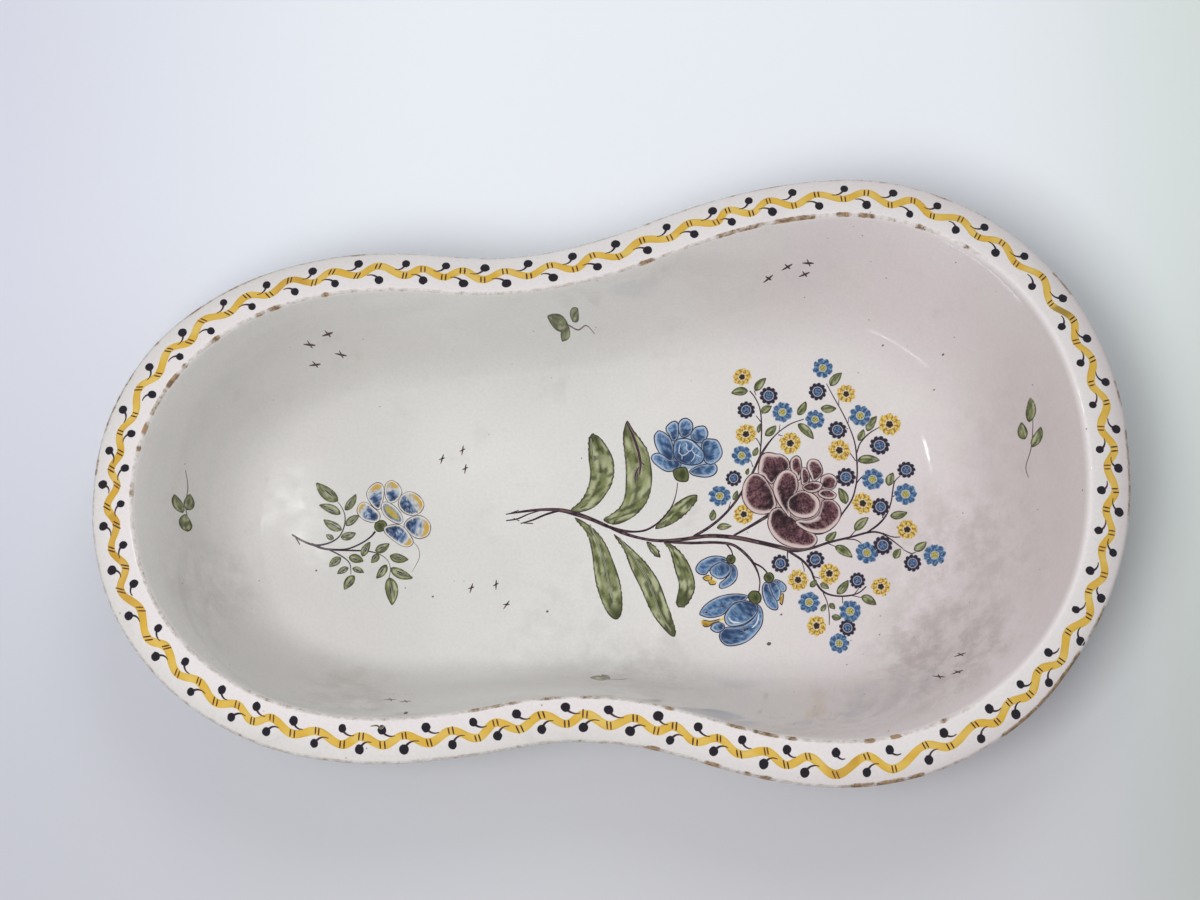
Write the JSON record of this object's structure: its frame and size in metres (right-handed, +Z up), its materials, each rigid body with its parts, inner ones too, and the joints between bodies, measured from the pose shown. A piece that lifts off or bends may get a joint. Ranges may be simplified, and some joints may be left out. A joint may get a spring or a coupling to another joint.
{
  "type": "faience bidet pan",
  "caption": "Shallow violin-shaped glazed earthenware basin with a sloping rolled rim, a painted ribbon border and painted flower sprays inside.",
  "frame": {"origin": "under the middle of the plan, on the face that the pan stands on", "axes": "+X along the basin towards the large lobe, +Y to the far long side, +Z up out of the basin"},
  "size_m": [0.5298, 0.3158, 0.078],
  "materials": {
    "clay": "bare fired earthenware, matt",
    "white_glaze": "white tin glaze, glossy, pinholed",
    "ochre_paint": "ochre yellow painted in the glaze",
    "blue_paint": "cobalt blue painted in the glaze",
    "green_paint": "copper green painted in the glaze",
    "purple_paint": "manganese purple painted in the glaze",
    "dark_paint": "near-black manganese line and dot work"
  },
  "bodies": {
    "root": {"floor_slab": "clay", "basin_wall": "clay", "rim_flange": "clay", "basin_glaze": "white_glaze", "rim_glaze": "white_glaze", "outside_glaze": "white_glaze", "ribbon_border": "ochre_paint"}
  },
  "joints": []
}
